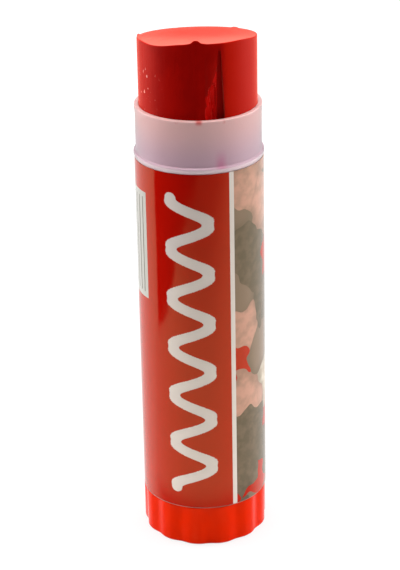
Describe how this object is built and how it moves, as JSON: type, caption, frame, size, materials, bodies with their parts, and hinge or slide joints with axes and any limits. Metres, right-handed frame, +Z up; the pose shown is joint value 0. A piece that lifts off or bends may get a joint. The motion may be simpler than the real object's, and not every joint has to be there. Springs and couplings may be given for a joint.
{
  "type": "animal marking crayon",
  "caption": "Twist-up stick of red marking wax in a labelled frosted barrel; turning the scalloped base winds the wax up or down on a lead screw.",
  "frame": {"origin": "centre of the twist base's underside", "axes": "+Z up along the stick, towards the wax; -Y towards the side the picture shows, +X to its right"},
  "size_m": [0.0342, 0.0342, 0.1426],
  "materials": {
    "frosted_plastic": "frosted translucent moulding",
    "label_film": "printed glossy film",
    "knob_plastic": "satin moulding",
    "spindle_plastic": "natural moulding",
    "marking_wax": "cast wax, worn smooth on top"
  },
  "bodies": {
    "barrel_body": {"barrel": "frosted_plastic", "label": "label_film"},
    "base": {"twist_base": "knob_plastic", "lead_screw": "spindle_plastic"},
    "crayon": {"carrier": "spindle_plastic", "wax_crayon": "marking_wax"}
  },
  "joints": [
    {"name": "base_twist", "type": "hinge", "parent": "barrel_body", "child": "base", "pos_m": [0, 0, 0], "axis": [0, 0, 1], "range_deg": [-1440, 5040]},
    {"name": "crayon_slide", "type": "slide", "parent": "barrel_body", "child": "crayon", "axis": [0, 0, 1], "range_m": [-0.02, 0.07]}
  ],
  "couplings": [
    {"joint": "base_twist", "follows": "crayon_slide", "rad_per_m": 1256.6}
  ]
}
